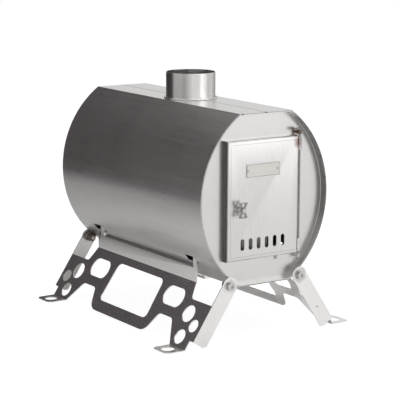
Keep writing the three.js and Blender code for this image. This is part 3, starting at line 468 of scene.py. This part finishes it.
weld_marks = [spot((x / 1000, barrel_low.y, barrel_middle + z / 1000), WELD_REACH, BLACK)
              for x, z in RIM_WELDS]
seam_line = (LINE, {"Middle": (0, 0, barrel_high.z), "Half_Size": SEAM_HALF_SIZE, "Inset": 0.0,
                    "Width": SEAM_LINE_WIDTH}, grey(0.03), 0.9)
BARREL_STEEL = steel("barrel_steel", 0.72, 0.3, ALONG_BARREL, contrast=0.2, bump=0.08,
                     soot=(INSIDE, {}), marks=[seam_line] + weld_marks)

# %% [markdown]
# ## The end plates
# Each end plate is a shallow pan whose flange lies inside the barrel's rim. The front one has painted shade
# inside the rim and is brown at the hinge. Its side that faces the fire is sooty, and the mask for that
# starts just behind the plate's face. The rear one is left clean on both sides.

# %% Make the end plates' steel
RIM_DEPTH = 0.012
SHADE_CLEAR = 0.0008
SOOT_START, SOOT_FULL = 0.0009, 0.0011

front_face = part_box("front_end_plate")[0].y + RIM_DEPTH
# Painted shade on the inside of the front rim's right part.
painted_rim_shade = (RIM_SHADE_GROUP, {"Face": front_face - SHADE_CLEAR}, grey(0.13, 0.04), 0.85)
hinge_heat = spot(middle_and_half("hinge_lug_upper")[0], 0.010)
front_soot = {"Start": front_face + SOOT_START, "End": front_face + SOOT_FULL}
END_STEEL = steel("end_plate_steel", 0.72, 0.3, UPRIGHT, contrast=0.1, soot=(BEHIND, front_soot),
                  marks=[painted_rim_shade] + weld_marks + [hinge_heat])
REAR_STEEL = steel("rear_plate_steel", 0.76, 0.3, UPRIGHT, contrast=0.1)

# %% [markdown]
# ## The door
# The door is a shallow pan of satin sheet, brushed upwards. A pressed line runs round its face and out at
# the hinge side, its left side gets painted shade, and its upper right corner is brown.

# %% Make the door's steel
DOOR_LINE_INSET = 0.0065
DOOR_LINE_PAST = Vector((0.012, 0, 0))
DOOR_SIDE_START, DOOR_SIDE_FULL = 0.0022, 0.0003
LINE_WIDTH = 0.0006

door_low, door_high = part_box("door_panel")
door_middle, door_half = middle_and_half("door_panel")
door_line = (LINE, {"Middle": tuple(door_middle + DOOR_LINE_PAST), "Inset": DOOR_LINE_INSET,
                    "Half_Size": tuple(door_half + DOOR_LINE_PAST), "Width": LINE_WIDTH},
             grey(0.2, 0.05), 0.6)
# Painted shade darkens the door's left side.
door_side_shade = (RIGHTWARD, {"Start": door_low.x + DOOR_SIDE_START, "End": door_low.x + DOOR_SIDE_FULL},
             grey(0.07, 0.08), 0.9)
door_heat = spot((door_high.x - 0.001, door_low.y, door_high.z - 0.010), 0.012)
DOOR_STEEL = steel("door_steel", 0.74, 0.28, UPRIGHT, contrast=0.1, marks=[door_line, door_side_shade, door_heat])

# %% [markdown]
# ## The name plate
# The plate is a small warm-toned piece with a line pressed just inside its edge. Its face stays bare.

# %% Make the name plate's steel
PLATE_LINE_INSET = 0.0012

plate_middle, plate_half = middle_and_half("name_plate")
plate_line = (LINE, {"Middle": tuple(plate_middle), "Half_Size": tuple(plate_half),
                     "Inset": PLATE_LINE_INSET, "Width": LINE_WIDTH}, grey(0.1, 0.1), 0.7)
PLATE_STEEL = steel("name_plate_steel", 0.66, 0.35, ACROSS, contrast=0.25, warmth=0.04,
                    marks=[plate_line])

# %% [markdown]
# ## The flue collar
# The collar is a drawn tube, and its wall gets upright bands of painted reflection, light and dark. A
# colour ramp across the collar gives them. The ramp lies in the collar's own space, so the painted bands
# stay where they are when the stove is seen from another side.

# %% Lay bands of painted reflection across the collar
COLLAR_ACROSS = (0.831, -0.556, 0)
COLLAR_REFLECTION_STEPS = [(0.0, 0.55), (0.08, 0.5), (0.18, 0.9), (0.32, 0.85), (0.42, 0.6), (0.55, 1.0), (0.72, 1.0),
                (0.84, 0.65), (0.93, 1.0), (1.0, 0.5)]
collar_radius = middle_and_half("flue_collar")[1].x


# Painted reflection: upright bands of light and dark across the collar.
def collar_painted_reflection(w, colour):
    place = w.node("ShaderNodeTexCoord").outputs["Object"]
    across = w.vector("DOT_PRODUCT", place, COLLAR_ACROSS)["Value"]
    ramp = w.node("ShaderNodeValToRGB", Fac=w.ramp_up(across, -collar_radius, collar_radius))
    steps = ramp.color_ramp.elements
    steps[0].position, steps[0].color = COLLAR_REFLECTION_STEPS[0][0], grey(COLLAR_REFLECTION_STEPS[0][1])
    steps[1].position, steps[1].color = COLLAR_REFLECTION_STEPS[-1][0], grey(COLLAR_REFLECTION_STEPS[-1][1])
    for position, level in COLLAR_REFLECTION_STEPS[1:-1]:
        steps.new(position).color = grey(level)
    return w.vector("MULTIPLY", colour, ramp.outputs[0])[0]


COLLAR_STEEL = steel("collar_steel", 0.95, 0.2, ACROSS, contrast=0.2, bands=collar_painted_reflection)

# %% [markdown]
# ## The ring at the collar's root
# The ring is spot welded to the barrel's flat top. Two black spots of painted shade sit on it, one on each
# side of the collar, where the dark gap round the ring turns out of sight.

# %% Make the ring's steel
RING_SHADE_RADIUS = 0.0429
RING_SHADE_RISE = 0.0007
RING_SHADE_REACH = 0.008

ring_middle, ring_half = middle_and_half("flue_collar_ring")
ring_middle.z += RING_SHADE_RISE - ring_half.z
# Painted shade: two black spots at the ring's two ends across the collar.
ring_shade_spots = [spot(ring_middle + Vector(COLLAR_ACROSS) * RING_SHADE_RADIUS * side, RING_SHADE_REACH, BLACK)
              for side in (1, -1)]
RING_STEEL = steel("ring_steel", 0.75, 0.3, EVEN, contrast=0.2, marks=ring_shade_spots)

# %% [markdown]
# ## The leg frames
# The leg frames have hardly any grain, so they mirror the room most evenly. Each is brown round its two
# pivot bolts, where the heat of the end plates reaches it.

# %% Make the leg frames' steel
PIVOT_REACH = 0.017

pivot_marks = [spot(middle_and_half(f"pivot_nut_{side}_{end}")[0], PIVOT_REACH)
               for side in ("left", "right") for end in ("front", "rear")]
LEG_STEEL = steel("leg_steel", 0.9, 0.26, ALONG_BARREL, contrast=0.06, bump=0.02, marks=pivot_marks)

# %% [markdown]
# ## Small pieces
# Bolts and rivets are turned, so they have no grain in one direction. The latch wing and the hinge pin
# are darker, and what sits close to the fire is scorched. The heat shield and the air slide are dull
# sheet, and the seam strips are sooty.

# %% Make the small pieces' steels
TURNED_STEEL = steel("turned_steel", 0.62, 0.24, EVEN, contrast=0.25)
WING_STEEL = steel("latch_steel", 0.3, 0.3, EVEN, contrast=0.4, warmth=0.05)
SCORCHED_STEEL = steel("scorched_steel", 0.2, 0.5, EVEN, contrast=0.6, warmth=0.12)
SHIELD_STEEL = steel("shield_steel", 0.35, 0.45, UPRIGHT, contrast=0.3)
SOOTY_STEEL = steel("sooty_steel", 0.06, 0.6, EVEN, contrast=0.4)

# %% [markdown]
# ## Each piece gets its finish
# A piece's name starts with what it is, so the start of the name is enough to choose its steel. The
# first start that fits is taken, so a longer start stands before a shorter one.

# %% Give every piece its finish
FINISH_BY_START = [
    ("barrel_shell", BARREL_STEEL), ("seam_strip", SOOTY_STEEL), ("flue_collar_ring", RING_STEEL),
    ("flue_collar", COLLAR_STEEL), ("door_panel", DOOR_STEEL), ("door_knuckle", DOOR_STEEL),
    ("name_plate_rivet", TURNED_STEEL), ("name_plate", PLATE_STEEL), ("air_slide", SHIELD_STEEL),
    ("slide_guide", SHIELD_STEEL), ("heat_shield", SHIELD_STEEL), ("latch_cam", SCORCHED_STEEL),
    ("latch_nut", SCORCHED_STEEL), ("latch_wing", WING_STEEL), ("latch", TURNED_STEEL),
    ("hinge_pin", WING_STEEL), ("hinge_lug", END_STEEL), ("left_leg", LEG_STEEL), ("right_leg", LEG_STEEL),
    ("pivot_bracket", SCORCHED_STEEL), ("pivot_nut", SCORCHED_STEEL), ("pivot", TURNED_STEEL),
    ("front_end_plate", END_STEEL), ("rear_end_plate", REAR_STEEL),
]
for name in nodes:
    finish_node(name, next(material for start, material in FINISH_BY_START if name.startswith(start)))
print("finished nodes:", len(nodes))

# %% [markdown]
# ## The floor's paper
# The floor is white paper. For camera rays it glows almost white, which keeps only a soft trace of the
# shadows under the feet. All other rays meet the paper itself, with painted shade that turns it grey
# towards the dark card, so that the barrel's lower side mirrors a floor that isn't one flat tone.

# %% Make the floor's material
FLOOR_GLOW = 0.9
FLOOR_SEEN = 0.25
PAPER, PAPER_PAINTED_SHADE = 0.93, 0.5
TO_CARD = (-0.6, 0.8, 0)
FADED_AT = 0.6


def floor_material():
    material = bpy.data.materials.new("white_floor")
    material.use_nodes = True
    w = Wiring(material.node_tree)
    seen = w.node("ShaderNodeLightPath").outputs["Is Camera Ray"]
    place = w.node("ShaderNodeTexCoord").outputs["Object"]
    towards_card = w.vector("DOT_PRODUCT", place, TO_CARD)["Value"]
    # Painted shade: the paper greys towards the dark card.
    unseen = w.mix(w.ramp_up(towards_card, 0.0, FADED_AT), grey(PAPER), grey(PAPER_PAINTED_SHADE))
    paper = w.node("ShaderNodeBsdfDiffuse", Color=w.mix(seen, unseen, grey(FLOOR_SEEN)))
    glow = w.node("ShaderNodeEmission", Color=grey(1.0), Strength=w.math("MULTIPLY", seen, FLOOR_GLOW))
    both = w.node("ShaderNodeAddShader", i0=paper.outputs[0], i1=glow.outputs[0])
    w.node("ShaderNodeOutputMaterial", Surface=both.outputs[0])
    return material


WHITE_FLOOR = floor_material()
print("made", WHITE_FLOOR.name)

# %% [markdown] ## The floor itself A plane under the feet is enough.

# %% Lay the floor
FLOOR_HALF = 6.0
FLOOR_Z = -0.0002


def flat_piece(name, corners, material):
    mesh = bpy.data.meshes.new(name)
    mesh.from_pydata(corners, [], [(0, 1, 2, 3)])
    mesh.materials.append(material)
    made = bpy.data.objects.new(name, mesh)
    bpy.context.collection.objects.link(made)
    return made


floor_corners = [(x * FLOOR_HALF, y * FLOOR_HALF, FLOOR_Z) for x, y in ((-1, -1), (1, -1), (1, 1), (-1, 1))]
floor = flat_piece("floor", floor_corners, WHITE_FLOOR)
print("floor size:", tuple(round(side, 2) for side in floor.dimensions))

# %% [markdown]
# ## The dark card
# Steel shows what stands round it. The studio is white, but a dark card stands behind the stove to the
# left. The barrel's upper side and the leg plates mirror it, and the barrel's lower side mirrors the
# pale floor. The camera never sees the card itself, and the card throws no shadow.

# %% Stand the dark card
CARD_LEFT, CARD_RIGHT = -1.5, 0.35
CARD_Y = 0.95
CARD_TOP = 1.3
CARD_FADE_START = 0.55
CARD_DARK, CARD_LIGHT = 0.06, 0.10
CARD_TINT = (1.06, 0.93, 0.97, 1)


def card_material():
    material = bpy.data.materials.new("dark_card")
    material.use_nodes = True
    w = Wiring(material.node_tree)
    place = w.node("ShaderNodeTexCoord").outputs["Object"]
    height = w.node("ShaderNodeSeparateXYZ", Vector=place).outputs["Z"]
    shade = w.node("ShaderNodeMapRange", Value=height, From_Min=CARD_FADE_START, From_Max=CARD_TOP,
                   To_Min=CARD_DARK, To_Max=CARD_LIGHT).outputs[0]
    card = w.node("ShaderNodeEmission", Color=CARD_TINT, Strength=shade)
    w.node("ShaderNodeOutputMaterial", Surface=card.outputs[0])
    return material


card_corners = [(CARD_LEFT, CARD_Y, 0.0), (CARD_RIGHT, CARD_Y, 0.0), (CARD_RIGHT, CARD_Y, CARD_TOP),
                (CARD_LEFT, CARD_Y, CARD_TOP)]
card = flat_piece("dark_card", card_corners, card_material())
card.visible_camera = False
card.visible_diffuse = False
card.visible_shadow = False
print("card size:", tuple(round(side, 2) for side in card.dimensions))

# %% [markdown]
# ## The white room
# The world stands for the studio's walls and ceiling. The camera sees plain white. The steel sees walls
# that are almost white and a ceiling that is greyer, so that the sheets that face upwards don't burn out.

# %% Light the room
WALLS, CEILING = 0.92, 0.42
CEILING_START, CEILING_FULL = 0.15, 0.6


def light_room():
    world = bpy.data.worlds.new("studio")
    bpy.context.scene.world = world
    world.use_nodes = True
    w = Wiring(world.node_tree)
    seen = w.node("ShaderNodeLightPath").outputs["Is Camera Ray"]
    direction = w.node("ShaderNodeTexCoord").outputs["Generated"]
    height = w.node("ShaderNodeSeparateXYZ", Vector=direction).outputs["Z"]
    room = w.mix(w.ramp_up(height, CEILING_START, CEILING_FULL), grey(WALLS), grey(CEILING))
    background = w.node("ShaderNodeBackground", Color=w.mix(seen, room, grey(1.0)), Strength=1.0)
    w.node("ShaderNodeOutputWorld", Surface=background.outputs[0])
    return world


print("world:", light_room().name)

# %% [markdown]
# ## Two soft lamps
# A large lamp overhead gives the flat top its light and the feet their faint shadows. A larger one in
# front and to the right lifts the door. Large lamps make soft highlights, as a studio's soft boxes do.

# %% Hang the lamps
LAMP_AIM = Vector((0, 0, 0.2))
LAMPS = {
    "overhead": {"place": (0.3, -0.4, 2.2), "size": 1.4, "watts": 20},
    "front": {"place": (1.7, -2.7, 0.95), "size": 2.2, "watts": 12},
}
for name, lamp in LAMPS.items():
    data = bpy.data.lights.new(name, "AREA")
    data.size = lamp["size"]
    data.energy = lamp["watts"]
    hung = bpy.data.objects.new(name, data)
    hung.location = lamp["place"]
    hung.rotation_euler = (LAMP_AIM - hung.location).to_track_quat("-Z", "Y").to_euler()
    bpy.context.collection.objects.link(hung)
    print("lamp", name, "with", lamp["watts"], "W")

# %% [markdown] ## Sizes at the end No finish makes the stove larger than its box in the packed model.
